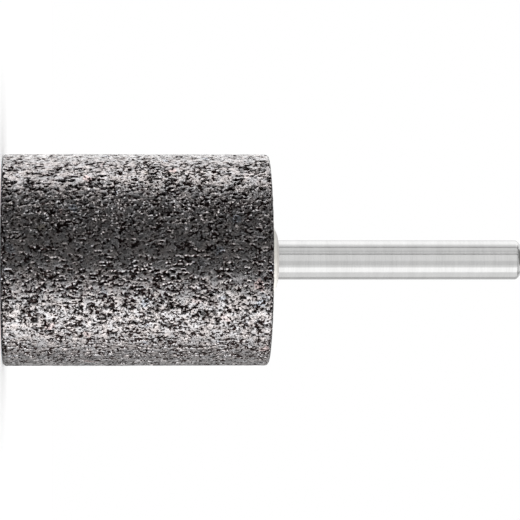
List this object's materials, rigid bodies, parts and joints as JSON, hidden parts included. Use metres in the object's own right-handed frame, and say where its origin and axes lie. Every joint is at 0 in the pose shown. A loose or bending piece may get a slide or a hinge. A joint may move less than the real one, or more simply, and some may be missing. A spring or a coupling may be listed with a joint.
{
  "type": "mounted point",
  "caption": "Cylindrical abrasive head cemented onto a ground steel shank, for grinding and deburring in a collet or chuck.",
  "frame": {"origin": "centre of the head's free end face, which the part stands on", "axes": "+Z along the tool's axis, from the head's free end to the tip of the shank; X and Y are across the head"},
  "size_m": [0.032, 0.032, 0.0785],
  "materials": {
    "abrasive": "satin",
    "cement": "matte",
    "steel": "satin"
  },
  "bodies": {
    "root": {"abrasive_head": "abrasive", "bonding_cement": "cement", "shank": "steel"}
  },
  "joints": []
}
